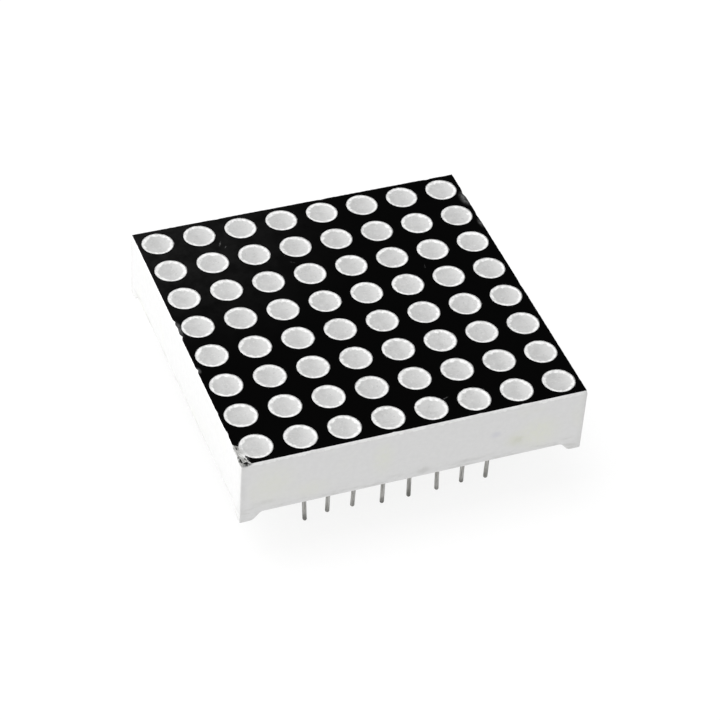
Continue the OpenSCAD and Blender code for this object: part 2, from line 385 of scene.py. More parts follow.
def tinnedMaterial(look):
    material, tree, shader, coords = startMaterial("tinnedMetal", {"Metallic": 1.0})
    drawn = stretch(tree, coords, (0.12, 0.12, 1.6))
    streaks = ease(tree, grain(tree, drawn, 1.0, 4, 0.6), 0.35, 0.65)
    colour = mixColour(tree, streaks, look["dull"], look["bright"])
    height = partsOf(tree, coords)[2]
    towardsTip = times(tree, ease(tree, height, look["tipStart"], look["tipEnd"]),
                       ease(tree, grain(tree, coords, 2.0, 3), 0.35, 0.6, 0.45, 1.0))
    colour = mixColour(tree, towardsTip, colour, look["tip"])
    roughness = ease(tree, grain(tree, coords, 4.0, 3), 0.3, 0.7, 0.26, 0.45, "LINEAR")
    finishMaterial(tree, shader, colour, roughness, grain(tree, drawn, 2.0, 4), 0.008, 0.6)
    return material


def speckledMaterial(name, dark, light, scale, finish, roughness, depth=0.01, strength=0.4):
    material, tree, shader, coords = startMaterial(name, finish)
    colour = mixColour(tree, ease(tree, grain(tree, coords, scale, 4, 0.6), 0.35, 0.65),
                       dark, light)
    rough = ease(tree, grain(tree, coords, scale * 1.7, 3), 0.3, 0.7, *roughness, "LINEAR")
    finishMaterial(tree, shader, colour, rough, grain(tree, coords, scale * 3, 3),
                   depth, strength)
    return material


print("stage: materials")
whitePlastic = whitePlasticMaterial(whitePlasticLook)
blackInk = blackInkMaterial(blackInkLook)
milkyResin = milkyResinMaterial(milkyResinLook)
tinnedMetal = tinnedMaterial(tinnedLook)
greenMask = speckledMaterial("greenMask", (0.018, 0.085, 0.035), (0.03, 0.13, 0.05), 1.4,
                             {"Specular IOR Level": 0.5}, (0.25, 0.4))
maskedCopper = speckledMaterial("maskedCopper", (0.04, 0.16, 0.05), (0.06, 0.21, 0.07), 1.8,
                                {"Specular IOR Level": 0.5}, (0.22, 0.38))
bareCopper = speckledMaterial("bareCopper", (0.55, 0.27, 0.14), (0.75, 0.42, 0.25), 3.0,
                              {"Metallic": 1.0}, (0.25, 0.45))
goldPlate = speckledMaterial("goldPlate", (0.75, 0.52, 0.2), (0.9, 0.68, 0.32), 8.0,
                             {"Metallic": 1.0}, (0.2, 0.35))
goldWire = speckledMaterial("goldWire", (0.8, 0.56, 0.22), (0.95, 0.72, 0.34), 12.0,
                            {"Metallic": 1.0}, (0.15, 0.25))
brightSolder = speckledMaterial("brightSolder", (0.5, 0.5, 0.48), (0.74, 0.74, 0.72), 3.5,
                                {"Metallic": 1.0}, (0.18, 0.4))
sawnDie = speckledMaterial("sawnDie", (0.42, 0.4, 0.22), (0.66, 0.63, 0.42), 10.0,
                           {"Specular IOR Level": 0.6}, (0.3, 0.5))
hazyResin = speckledMaterial("hazyResin", (0.86, 0.84, 0.70), (0.93, 0.92, 0.82), 0.5,
                             {"IOR": 1.5, "Transmission Weight": 0.94}, (0.10, 0.24), 0.03, 0.5)

materialOf = {"circuit_board": greenMask, "row_tracks": bareCopper, "bond_pads": goldPlate,
              "solder_lands": bareCopper}
for i in range(rows):
    materialOf[f"led_dice_row_{i + 1}"] = sawnDie
    materialOf[f"bond_wires_row_{i + 1}"] = goldWire
for name, material in materialOf.items():
    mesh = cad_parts[name].data
    mesh.materials.clear()
    mesh.materials.append(material)


# the moulded housing
housing = {
    "cornerRadius": 0.1, "edgeDrop": 0.38, "edgeWaver": 0.7, "skirtRadius": 0.1,
    "cavityRadius": 1.0,
    "footHeight": 0.85, "footLength": 1.2, "footSlope": 50, "footBlend": 0.5,
    "throatRadius": 1.14, "cupBaseRadius": 0.845, "flareDepth": 0.3,
    "pocketRadius": 1.1, "pocketTop": 5.6, "pocketDraft": 6, "pegRadius": 0.6,
    "markPlace": (9.7, 2.78), "markRadius": 0.72, "markDepth": 0.035,
    "cellSteps": 16, "cornerSteps": 6, "wallRows": 24, "wave": 0.007,
}


class Shell:
    def __init__(self):
        self.points, self.faces, self.known = [], [], {}

    def point(self, p):
        key = tuple(round(float(c), 4) for c in p)
        if key not in self.known:
            self.known[key] = len(self.points)
            self.points.append(tuple(float(c) for c in p))
        return self.known[key]

    def face(self, corners):
        ids = [self.point(p) for p in corners]
        ids = [a for k, a in enumerate(ids) if a != ids[k - 1]]
        if len(set(ids)) > 2:
            self.faces.append(ids)

    def bridge(self, first, second):
        for k in range(len(first)):
            self.face([first[k - 1], first[k], second[k], second[k - 1]])

    def cap(self, loop, centre):
        for k in range(len(loop)):
            self.face([loop[k - 1], loop[k], centre])

    def fill(self, loops, z):
        corners, edges, owner = [], [], []
        for number, loop in enumerate(loops):
            start = len(corners)
            corners += [(p[0], p[1], z) for p in loop]
            edges += [(start + k, start + (k + 1) % len(loop)) for k in range(len(loop))]
            owner += [number] * len(loop)
        found = delaunay_2d_cdt([Vector(p[:2]) for p in corners], edges, [], 1, 1e-6)
        for triangle in found[2]:
            picked = [found[3][k][0] for k in triangle]
            owners = {owner[k] for k in picked}
            if len(owners) > 1 or owners == {0}:  # a hole's own corners alone: stays open
                self.face([corners[k] for k in picked])


def planLoop(inset, size):
    straight = half - size["cornerRadius"]
    radius = size["cornerRadius"] - inset
    along = sidePoints(size)
    steps = size["cornerSteps"]
    loop = []
    for side in range(4):
        turn = quarterTurns(side)
        for x in along:
            loop.append(turn @ np.array([x, inset - half]))
        for k in range(1, steps):
            a = math.radians(-90 + 90 * k / steps)
            loop.append(turn @ np.array([straight + radius * math.cos(a),
                                         -straight + radius * math.sin(a)]))
    return np.array(loop)


def sidePoints(size):
    straight = half - size["cornerRadius"]
    borders = [(k - rows / 2) * pitch for k in range(1, rows)]
    spans = list(zip([-straight] + borders, borders + [straight]))
    out = []
    for low, high in spans:
        out += list(np.linspace(low, high, size["cellSteps"] + 1))[:-1]
    return out + [straight]


def cavityLoop(size):
    along = sidePoints(size)
    radius, straight = size["cavityRadius"], cavityHalf - size["cavityRadius"]
    beyond = sum(1 for x in along if x > straight + 1e-6)
    count = 2 * beyond + size["cornerSteps"] - 1
    loop = []
    for side in range(4):
        turn = quarterTurns(side)
        for index, x in enumerate(along):
            if abs(x) <= straight + 1e-6:
                loop.append(turn @ np.array([x, -cavityHalf]))
                continue
            if x < 0:
                k = count - beyond + index + 1
                a = math.radians(-180 + 90 * k / (count + 1))
                loop.append(turn @ np.array([-straight + radius * math.cos(a),
                                             -straight + radius * math.sin(a)]))
            else:
                k = index - (len(along) - beyond) + 1
                a = math.radians(-90 + 90 * k / (count + 1))
                loop.append(turn @ np.array([straight + radius * math.cos(a),
                                             -straight + radius * math.sin(a)]))
        for j in range(1, size["cornerSteps"]):
            a = math.radians(-90 + 90 * (beyond + j) / (count + 1))
            loop.append(turn @ np.array([straight + radius * math.cos(a),
                                         -straight + radius * math.sin(a)]))
    return np.array(loop)


def skirtHeight(x, y, size):
    blend = size["footBlend"] * math.tan(math.radians(size["footSlope"] / 2))
    slope = math.radians(size["footSlope"])
    run = size["footHeight"] / math.tan(slope)
    turns = np.linspace(0, slope, 9)
    out = [size["footLength"] - blend + size["footBlend"] * np.sin(turns),
           size["footBlend"] * (1 - np.cos(turns))]
    back = turns[::-1]
    top = [size["footLength"] + run + blend - size["footBlend"] * np.sin(back),
           size["footHeight"] - size["footBlend"] * (1 - np.cos(back))]
    d, z = np.concatenate([out[0], top[0]]), np.concatenate([out[1], top[1]])
    near = [np.interp(half - abs(v), d, z) for v in (x, y)]
    return max(near)


def faceCell(column, row, size):
    border = printHalf
    loop = []
    cx, cy = (column - (rows - 1) / 2) * pitch, (row - (rows - 1) / 2) * pitch
    low = np.maximum([cx - pitch / 2, cy - pitch / 2], -border)
    high = np.minimum([cx + pitch / 2, cy + pitch / 2], border)
    rim = planLoop(half - border, size)
    atRim = [p for p in rim if low[0] - 1e-6 <= p[0] <= high[0] + 1e-6
             and low[1] - 1e-6 <= p[1] <= high[1] + 1e-6]
    steps = np.linspace(0, 1, size["cellSteps"] + 1)
    for a, b in (((low[0], low[1]), (high[0], low[1])), ((high[0], low[1]), (high[0], high[1])),
                 ((high[0], high[1]), (low[0], high[1])), ((low[0], high[1]), (low[0], low[1]))):
        a, b = np.array(a), np.array(b)
        onRim = any(abs(abs(a[k]) - border) < 1e-6 and abs(a[k] - b[k]) < 1e-6 for k in (0, 1))
        if not onRim:
            loop += [a + (b - a) * s for s in steps]
    loop = [p for p in loop if not isCutCorner(p, border)]
    loop += atRim
    unique = {}
    for p in loop:
        unique[(round(p[0], 4), round(p[1], 4))] = p
    centre = np.array([cx, cy])
    return centre, sorted(unique.values(),
                          key=lambda p: math.atan2(p[1] - cy, p[0] - cx))


def isCutCorner(p, border):
    return abs(abs(p[0]) - border) < 1e-6 and abs(abs(p[1]) - border) < 1e-6


def buildHousing(size):
    shell = Shell()
    outer = planLoop(0, size)
    inner = cavityLoop(size)
    count = len(outer)
    edge, skirt = half - printHalf, size["skirtRadius"]
    # face, cups and pockets
    cupRings = []
    for column in range(rows):
        for row in range(rows):
            centre, loop = faceCell(column, row, size)
            angles = [math.atan2(p[1] - centre[1], p[0] - centre[0]) for p in loop]
            rings = []
            for radius, z in ((dotRadius, faceZ),
                              (size["throatRadius"], faceZ - size["flareDepth"]),
                              (size["cupBaseRadius"], cupZ)):
                rings.append([(centre[0] + radius * math.cos(a),
                               centre[1] + radius * math.sin(a), z) for a in angles])
            shell.bridge([(p[0], p[1], faceZ) for p in loop], rings[0])
            for first, second in zip(rings, rings[1:]):
                shell.bridge(first, second)
            cupRings.append(rings[-1])
    # top edge, outer wall
    rings = []
    drop = [size["edgeDrop"] * (1 + size["edgeWaver"] * (
        noise.noise(Vector((p[0] * 0.9, p[1] * 0.9, 2))) + 0.6 * noise.noise(
            Vector((p[0] * 2.9, p[1] * 2.9, 5))))) for p in outer]
    for s in (0, 0.08, 0.22, 0.4, 0.6, 0.8, 0.92, 1):
        plan = planLoop(edge * (1 - s) ** 1.3, size)
        rings.append([(*p, faceZ - d * s) for p, d in zip(plan, drop)])
    lowest = np.array([skirtHeight(*p, size) + skirt for p in outer])
    for k in range(1, size["wallRows"] + 1):
        ring = []
        for p, bottom, d in zip(outer, lowest, drop):
            z = faceZ - d + (bottom - faceZ + d) * k / size["wallRows"]
            ring.append((*wallPoint(p, z, size), z))
        rings.append(ring)
    gap = inner - outer
    reach = np.linalg.norm(gap, axis=1)

    def across(distances, rise):
        ring = []
        for i in range(count):
            p = outer[i] + gap[i] * (distances[i] / reach[i])
            ring.append((*p, skirtHeight(*p, size) + rise))
        return ring

    for k in (1, 2, 3):
        a = math.radians(30 * k)
        rings.append(across(skirt * (1 - math.cos(a)) * np.ones(count), skirt * (1 - math.sin(a))))
    for s in (0.25, 0.5, 0.75):
        rings.append(across(skirt + (reach - 2 * skirt) * s, 0))
    for k in (3, 2, 1, 0):
        a = math.radians(30 * k)
        rings.append(across(reach - skirt * (1 - math.cos(a)), skirt * (1 - math.sin(a))))
    start = [p[2] for p in rings[-1]]
    for k in range(1, 7):
        rings.append([(*p, z + (cupZ - z) * k / 6) for p, z in zip(inner, start)])
    for first, second in zip(rings, rings[1:]):
        shell.bridge(first, second)
    # ceiling of the cavity, cored pockets and pegs
    loops = [rings[-1]] + cupRings
    spots = [(k - rows / 2) * pitch for k in range(1, rows)]
    turns = [2 * math.pi * k / 24 for k in range(24)]
    for x in spots:
        for y in spots:
            peg = y == 0 and abs(x) == max(spots)
            radius = size["pegRadius"] if peg else size["pocketRadius"]
            end = boardLow.z if peg else size["pocketTop"]
            draft = 0 if peg else (end - cupZ) * math.tan(math.radians(size["pocketDraft"]))
            base = [(x + radius * math.cos(a), y + radius * math.sin(a), cupZ) for a in turns]
            tip = [(x + (radius - draft) * math.cos(a), y + (radius - draft) * math.sin(a), end)
                   for a in turns]
            loops.append(base)
            shell.bridge(base, tip)
            shell.cap(tip, (x, y, end))
    shell.fill(loops, cupZ)
    return shell


def wallPoint(p, z, size):
    out = np.array(p, float)
    near = min(1.0, (faceZ - z) / (2 * size["edgeDrop"]))
    swell = noise.noise(Vector((p[0] * 0.3, p[1] * 0.3, z * 0.35)))
    push = near * size["wave"] * (0.5 + 0.5 * swell)
    if abs(p[1] + half) < 1e-6:
        away = math.hypot(p[0] - size["markPlace"][0], z - size["markPlace"][1])
        ring = max(0.0, 1 - abs(away - size["markRadius"]) / 0.22)
        dish = 1 / (1 + math.exp((away - size["markRadius"]) / 0.06))
        push += size["markDepth"] * (0.5 * ring + 0.5 * dish)
    norm = max(abs(p[0]), abs(p[1]))
    return out * (1 - push / norm)


print("stage: housing")
housingMesh = closedMesh("mouldedHousing", buildHousing(housing), 38)
mouldedHousing = placeObject("mouldedHousing", housingMesh, whitePlastic)


# Geometry Nodes: one tree for each thing that repeats
def newTree(name, inputs):
    tree = bpy.data.node_groups.new(name, "GeometryNodeTree")
    tree.interface.new_socket("Geometry", in_out="INPUT", socket_type="NodeSocketGeometry")
    tree.interface.new_socket("Geometry", in_out="OUTPUT", socket_type="NodeSocketGeometry")
    for label, value in inputs.items():
        kind = "NodeSocketInt" if isinstance(value, int) else "NodeSocketFloat"
        tree.interface.new_socket(label, in_out="INPUT", socket_type=kind)
    return tree, addNode(tree, "NodeGroupInput").outputs


def storeValue(tree, geometry, label, value, domain="POINT", kind="FLOAT"):
    return addNode(tree, "GeometryNodeStoreNamedAttribute", geometry, None, label, value,
                   data_type=kind, domain=domain).outputs[0]


def storedValue(tree, label, kind="FLOAT"):
    return addNode(tree, "GeometryNodeInputNamedAttribute", label, data_type=kind).outputs[0]


def positionOf(tree):
    return addNode(tree, "GeometryNodeInputPosition").outputs[0]


def shiftPoints(tree, geometry, offset):
    return addNode(tree, "GeometryNodeSetPosition", geometry, Offset=offset).outputs[0]


def finishTree(tree, geometry, material):
    real = addNode(tree, "GeometryNodeRealizeInstances", geometry).outputs[0]
    painted = addNode(tree, "GeometryNodeSetMaterial", real, Material=material).outputs[0]
    addNode(tree, "NodeGroupOutput", painted)


def growPiece(name, tree, inputs, mesh=None):
    seed = placeObject(name + "Seed", mesh or bpy.data.meshes.new(name + "Seed"))
    modifier = seed.modifiers.new("grow", "NODES")
    modifier.node_group = tree
    for item in tree.interface.items_tree:
        if item.in_out == "INPUT" and item.name in inputs:
            modifier[item.identifier] = inputs[item.name]
    graph = bpy.context.evaluated_depsgraph_get()
    grown = bpy.data.meshes.new_from_object(seed.evaluated_get(graph), depsgraph=graph)
    grown.name = name
    seed.modifiers.clear()
    bpy.data.objects.remove(seed)
    return placeObject(name, grown)


def turnedForm(tree, sides, levels, caps, stops):
    cylinder = addNode(tree, "GeometryNodeMeshCylinder", sides, levels, caps, 1.0, 1.0,
                       fill_type="TRIANGLE_FAN")
    x, y, z = partsOf(tree, positionOf(tree))
    t = calc(tree, "ADD", z, 0.5)
    radius, height = stops[0][1], stops[0][2]
    for (t0, r0, z0), (t1, r1, z1) in zip(stops, stops[1:]):
        step = ease(tree, t, t0, t1, kind="LINEAR")
        radius = calc(tree, "ADD", radius, times(tree, calc(tree, "SUBTRACT", r1, r0), step))
        height = calc(tree, "ADD", height, times(tree, calc(tree, "SUBTRACT", z1, z0), step))
    return cylinder, (x, y, t), radius, height


resinDots = {"Pitch": pitch * mm, "Mouth radius": dotRadius * mm,
             "Throat radius": housing["throatRadius"] * mm, "Base radius": 0.84 * mm,
             "Flare depth": housing["flareDepth"] * mm, "Base height": cupZ * mm,
             "Face height": faceZ * mm, "Sag": 0.12 * mm, "Unevenness": 0.03 * mm,
             "Sides": 64, "Seed": 11}


def dotTree(inputs, material):
    tree, given = newTree("resinDotTree", inputs)
    g = {s.name: s for s in given}
    flareBase = calc(tree, "SUBTRACT", g["Face height"], g["Flare depth"])
    stops = [(0.0, g["Base radius"], g["Base height"]), (0.5, g["Throat radius"], flareBase),
             (1.0, g["Mouth radius"], g["Face height"])]
    cylinder, (x, y, t), radius, height = turnedForm(tree, g["Sides"], 4, 10, stops)
    onTop = calc(tree, "GREATER_THAN", t, 0.999)
    bowl = calc(tree, "SUBTRACT", 1.0, calc(tree, "POWER", reachOf(tree, x, y), 2.6))
    sunk = times(tree, times(tree, bowl, g["Sag"]), onTop)
    place = vectorOf(tree, times(tree, x, radius), times(tree, y, radius),
                     calc(tree, "SUBTRACT", height, sunk))
    form = addNode(tree, "GeometryNodeSetPosition", cylinder.outputs["Mesh"],
                   Position=place).outputs[0]
    across, along, _ = partsOf(tree, positionOf(tree))
    rimReach = calc(tree, "DIVIDE", reachOf(tree, across, along), mm)
    form = storeValue(tree, form, "rimReach", rimReach)
    form = storeValue(tree, form, "across", calc(tree, "DIVIDE", across, mm))
    span = times(tree, g["Pitch"], float(rows - 1))
    spots = addNode(tree, "GeometryNodeMeshGrid", span, span, rows, rows).outputs[0]
    dots = addNode(tree, "GeometryNodeInstanceOnPoints", spots, None, form).outputs[0]
    tone = addNode(tree, "FunctionNodeRandomValue", data_type="FLOAT")
    tone.inputs[2].default_value, tone.inputs[3].default_value = -0.022, 0.022
    tree.links.new(g["Seed"], tone.inputs["Seed"])
    dots = storeValue(tree, dots, "tone", tone.outputs[1], "INSTANCE")
    real = addNode(tree, "GeometryNodeRealizeInstances", dots).outputs[0]
    here = positionOf(tree)
    bumps = addNode(tree, "ShaderNodeTexNoise", vectorCalc(tree, "SCALE", here, Scale=1 / mm),
                    None, 1.1, 2.0, 0.5).outputs["Fac"]
    inside = ease(tree, storedValue(tree, "rimReach"), 1.35, 0.7)
    above = calc(tree, "GREATER_THAN", partsOf(tree, here)[2],
                 calc(tree, "SUBTRACT", g["Face height"], times(tree, g["Sag"], 1.2)))
    lift = times(tree, times(tree, inside, above),
                 times(tree, calc(tree, "SUBTRACT", bumps, 0.5), g["Unevenness"]))
    moved = shiftPoints(tree, real, vectorOf(tree, 0.0, 0.0, lift))
    smooth = addNode(tree, "GeometryNodeSetShadeSmooth", moved).outputs[0]
    finishTree(tree, smooth, material)
    return tree


print("stage: resin dots")
dots = growPiece("resinDots", dotTree(resinDots, milkyResin), resinDots)

facePrint = {
    "Pitch": pitch * mm, "Dot radius": dotRadius * mm, "Thickness": (printTop - faceZ) * mm,
    "Bottom": faceZ * mm, "Dot sides": 64, "Raggedness": 0.05,
}
printEdge = {
    "cornerRadius": 0.05, "step": 0.12, "seed": 5,
    "ragged": {"front": 0.012, "right": 0.045, "back": 0.045, "left": 0.035},
    "nibbles": [("left", 3.2, 0.22, 0.14), ("left", 2.3, 0.5, 0.09), ("left", 1.1, 0.25, 0.16),
                ("left", -3.5, 0.2, 0.12), ("left", -9.1, 0.3, 0.06), ("left", -11.8, 0.35, 0.08),
                ("front", -9.6, 0.25, 0.04), ("front", -2.2, 0.22, 0.05),
                ("front", 5.8, 0.25, 0.04), ("front", 9.9, 0.22, 0.04),
                ("right", 12.9, 0.35, 0.10), ("right", 9.4, 0.3, 0.07), ("right", -1.0, 0.4, 0.05),
                ("back", 13.2, 0.3, 0.07), ("back", 2.6, 0.3, 0.05), ("back", -7.7, 0.3, 0.06)],
    "chipStart": [(0.04, 2.60), (0.13, 2.47), (0.25, 2.44), (0.34, 2.32)],
    "arcFrom": 163, "arcTo": -148,
    "chipEnd": [(0.62, 0.98), (0.58, 0.85), (0.69, 0.73), (0.63, 0.57), (0.73, 0.45),
                (0.66, 0.34), (0.79, 0.19), (0.85, 0.02)],
    "flakes": [[(0.20, 0.24), (0.31, 0.21), (0.42, 0.27), (0.55, 0.23), (0.60, 0.10),
                (0.49, 0.04), (0.33, 0.06), (0.19, 0.10)],
               [(0.03, 0.78), (0.10, 0.76), (0.15, 0.60), (0.12, 0.44), (0.16, 0.30), (0.05, 0.26)],
               [(0.44, 0.72), (0.50, 0.75), (0.53, 0.62), (0.47, 0.57)],
               [(0.14, 2.10), (0.19, 2.14), (0.23, 1.96), (0.17, 1.86)]],
}


def printOutline(edge):
    turnBack = {"front": 0, "right": 1, "back": 2, "left": 3}
    radius = edge["cornerRadius"]
    straight = printHalf - radius
    count = int(2 * straight / edge["step"])
    line = []
    for side, turns in turnBack.items():
        turn = quarterTurns(turns)
        for k in range(count + 1):
            s = -straight + 2 * straight * k / count
            local = turn @ np.array([s, -printHalf])
            along = local[0] if side in ("front", "back") else local[1]
            worn = sum(abs(noise.noise(Vector((s * f, turns * 9.1, edge["seed"]))))
                       for f in (1.3, 4.1)) * edge["ragged"][side]
            for where, at, width, depth in edge["nibbles"]:
                if where == side:
                    worn += depth * math.exp(-((along - at) / width) ** 2)
            line.append(tuple(turn @ np.array([s, -printHalf + worn])))
        for k in range(1, 5):
            a = math.radians(-90 + 18 * k)
            line.append(tuple(turn @ np.array([straight + radius * math.cos(a),
                                               -straight + radius * math.sin(a)])))
    corner = -printHalf
    start, end, *flakes = [[(corner + u, corner + v) for u, v in loop] for loop in (
        edge["chipStart"], edge["chipEnd"], *edge["flakes"])]
    first, last = end[-1][0] + 0.06, start[0][1] + 0.06
    kept = [p for p in line if not (p[0] < -14 and p[1] < last and p[0] < first)]
    startAt = min(range(len(kept)),
                  key=lambda k: abs(kept[k][0] - first) + abs(kept[k][1] + printHalf))
    kept = kept[startAt:] + kept[:startAt]
    centre = -(rows - 1) / 2 * pitch
    sweep = edge["arcFrom"] - edge["arcTo"]
    arc = [(centre + dotRadius * math.cos(math.radians(edge["arcFrom"] - sweep * k / 56)),
            centre + dotRadius * math.sin(math.radians(edge["arcFrom"] - sweep * k / 56)))
           for k in range(57)]
    return [kept + start + arc + end] + flakes


def printTree(inputs, material):
    tree, given = newTree("facePrintTree", inputs)
    g = {s.name: s for s in given}
    outline = addNode(tree, "GeometryNodeMeshToCurve", given[0]).outputs[0]
    circle = addNode(tree, "GeometryNodeCurvePrimitiveCircle", g["Dot sides"],
                     Radius=g["Dot radius"], mode="RADIUS").outputs[0]
    circle = storeValue(tree, circle, "spoke", positionOf(tree), kind="FLOAT_VECTOR")
    span = times(tree, g["Pitch"], float(rows - 1))
    spots = addNode(tree, "GeometryNodeMeshGrid", span, span, rows, rows).outputs[0]
    whole = addNode(tree, "FunctionNodeCompare", data_type="INT", operation="GREATER_THAN")
    tree.links.new(addNode(tree, "GeometryNodeInputIndex").outputs[0], whole.inputs[2])
    holes = addNode(tree, "GeometryNodeInstanceOnPoints", spots, whole.outputs[0], circle)
    holes = addNode(tree, "GeometryNodeRealizeInstances", holes.outputs[0]).outputs[0]
    spoke = storedValue(tree, "spoke", "FLOAT_VECTOR")
    here = vectorCalc(tree, "SCALE", positionOf(tree), Scale=1 / mm)
    rough = times(tree, calc(tree, "SUBTRACT", grain(tree, here, 2.6, 3.0, 0.6), 0.5),
                  g["Raggedness"])
    holes = shiftPoints(tree, holes, vectorCalc(tree, "SCALE", spoke, Scale=rough))
    join = tree.nodes.new("GeometryNodeJoinGeometry")
    tree.links.new(outline, join.inputs[0])
    tree.links.new(holes, join.inputs[0])
    sheet = addNode(tree, "GeometryNodeFillCurve", join.outputs[0], mode="TRIANGLES").outputs[0]
    up = vectorOf(tree, 0.0, 0.0, 1.0)
    raised = addNode(tree, "GeometryNodeExtrudeMesh", sheet, None, up, g["Thickness"], False,
                     mode="FACES").outputs[0]
    under = addNode(tree, "GeometryNodeFlipFaces", sheet).outputs[0]
    both = tree.nodes.new("GeometryNodeJoinGeometry")
    tree.links.new(raised, both.inputs[0])
    tree.links.new(under, both.inputs[0])
    sealed = addNode(tree, "GeometryNodeMergeByDistance", both.outputs[0],
                     Distance=0.001 * mm).outputs[0]
    finishTree(tree, shiftPoints(tree, sealed, vectorOf(tree, 0.0, 0.0, g["Bottom"])), material)
    return tree


print("stage: face print")
loops = printOutline(printEdge)
linePoints, lineEdges = [], []
for loop in loops:
    start = len(linePoints)
    linePoints += [(*p, 0) for p in loop]
    lineEdges += [(start + k, start + (k + 1) % len(loop)) for k in range(len(loop))]
outlineMesh = meshFrom("printOutline", linePoints, [], lineEdges)
ink = growPiece("facePrint", printTree(facePrint, blackInk), facePrint, outlineMesh)


# leads and solder
leads = {"Radius": leadRadius * mm, "Tip radius": 0.15 * mm, "Tip height": 0.1 * mm,
         "Shoulder": sealZ * mm, "Top": boardHigh.z * mm, "Knee": -2.3 * mm, "Sides": 24}
leadLean = [  # sideways shift at the knee and at the tip, and the tip's height
    (0.05, 0.22, -4.85), (-0.24, -0.23, -4.43), (-0.37, -0.40, -4.43), (-0.12, -0.11, -4.85),
    (-0.17, -0.10, -4.8), (-0.06, 0.05, -4.72), (-0.15, -0.12, -4.5), (-0.28, -0.30, -4.6),
    (0.12, 0.20, -4.7), (-0.08, -0.15, -4.8), (0.05, 0.16, -4.6), (0.18, 0.10, -4.75),
    (-0.12, -0.05, -4.7), (0.07, -0.06, -4.85), (0.15, 0.22, -4.6), (-0.05, -0.14, -4.75)]


def leadTree(inputs, material):
    tree, given = newTree("leadTree", inputs)
    g = {s.name: s for s in given}
    stops = [(0.0, g["Tip radius"], 0.0), (1 / 32, g["Radius"], g["Tip height"]),
             (24 / 32, g["Radius"], calc(tree, "SUBTRACT", g["Shoulder"], leadTipZ * mm)),
             (1.0, g["Radius"], calc(tree, "SUBTRACT", g["Top"], leadTipZ * mm))]
    cylinder, (x, y, t), radius, height = turnedForm(tree, g["Sides"], 32, 2, stops)
    widest = calc(tree, "MAXIMUM", calc(tree, "ABSOLUTE", x), calc(tree, "ABSOLUTE", y))
    square = calc(tree, "DIVIDE", reachOf(tree, x, y), calc(tree, "MAXIMUM", widest, 0.001))
    square = times(tree, radius, square)
    inBoard = calc(tree, "GREATER_THAN", t, 24.5 / 32)
    section = addNode(tree, "ShaderNodeMix", inBoard, None, radius, square,
                      data_type="FLOAT").outputs[0]
    place = vectorOf(tree, times(tree, x, section), times(tree, y, section), height)
    form = storeValue(tree, cylinder.outputs["Mesh"], "along", height)
    form = addNode(tree, "GeometryNodeSetPosition", form, Position=place).outputs[0]
    many = addNode(tree, "GeometryNodeInstanceOnPoints", given[0], None, form).outputs[0]
    real = addNode(tree, "GeometryNodeRealizeInstances", many).outputs[0]
    kneeShift, tipShift, tipRise, along = (
        storedValue(tree, label) for label in ("kneeShift", "tipShift", "tipRise", "along"))
    above = calc(tree, "ADD", along, leadTipZ * mm)
    knee = times(tree, kneeShift, ease(tree, above, g["Shoulder"], g["Knee"]))
    tip = times(tree, calc(tree, "SUBTRACT", tipShift, kneeShift),
                ease(tree, above, g["Knee"], leadTipZ * mm, kind="LINEAR"))
    rise = times(tree, tipRise, ease(tree, above, -1.0 * mm, leadTipZ * mm, kind="LINEAR"))
    bent = shiftPoints(tree, real, vectorOf(tree, calc(tree, "ADD", knee, tip), 0.0,
                                            calc(tree, "ADD", rise, leadTipZ * mm)))
    smooth = addNode(tree, "GeometryNodeSetShadeSmooth", bent).outputs[0]
    finishTree(tree, smooth, material)
    return tree


print("stage: leads")
leadMesh = meshFrom("leadSpots", [(p.x, p.y, 0) for p in leadSpots], [])
for label, pick in (("kneeShift", lambda v: v[0]), ("tipShift", lambda v: v[1]),
                    ("tipRise", lambda v: v[2] - leadTipZ)):
    values = leadMesh.attributes.new(label, "FLOAT", "POINT")
    values.data.foreach_set("value", [pick(v) * mm for v in leadLean])
tinnedLeads = growPiece("tinnedLeads", leadTree(leads, tinnedMetal), leads, leadMesh)
tinnedLeads.data.set_sharp_from_angle(angle=math.radians(40))

solderCones = {"Foot radius": 0.6 * mm, "Neck radius": (rootCorner + 0.03) * mm,
               "Waist radius": (rootCorner + 0.08) * mm, "Barrel radius": (rootCorner + 0.03) * mm,
               "Land height": (boardLow.z - 0.05) * mm, "Cone height": 0.32 * mm,
               "Sides": 24}


def solderTree(inputs, material):
    tree, given = newTree("solderTree", inputs)
    g = {s.name: s for s in given}
    tip = calc(tree, "SUBTRACT", g["Land height"], g["Cone height"])
    waist = calc(tree, "SUBTRACT", g["Land height"], times(tree, g["Cone height"], 0.45))
    near = calc(tree, "SUBTRACT", g["Land height"], times(tree, g["Cone height"], 0.15))
    stops = [(0.0, g["Neck radius"], tip), (0.25, g["Waist radius"], waist),
             (0.5, times(tree, g["Foot radius"], 0.8), near),
             (0.75, g["Foot radius"], g["Land height"]),
             (1.0, g["Barrel radius"], boardHigh.z * mm)]
    cylinder, (x, y, t), radius, height = turnedForm(tree, g["Sides"], 4, 2, stops)
    place = vectorOf(tree, times(tree, x, radius), times(tree, y, radius), height)
    form = addNode(tree, "GeometryNodeSetPosition", cylinder.outputs["Mesh"],
                   Position=place).outputs[0]
    many = addNode(tree, "GeometryNodeInstanceOnPoints", given[0], None, form).outputs[0]
    smooth = addNode(tree, "GeometryNodeSetShadeSmooth", many).outputs[0]
    finishTree(tree, smooth, material)
    return tree


print("stage: solder")
solderMesh = meshFrom("solderSpots", [(p.x, p.y, 0) for p in leadSpots], [])
solder = growPiece("solderCones", solderTree(solderCones, brightSolder), solderCones, solderMesh)


# tracks under the board's green mask
maskedTracks = {"Width": 0.35 * mm, "Thickness": 0.035 * mm}


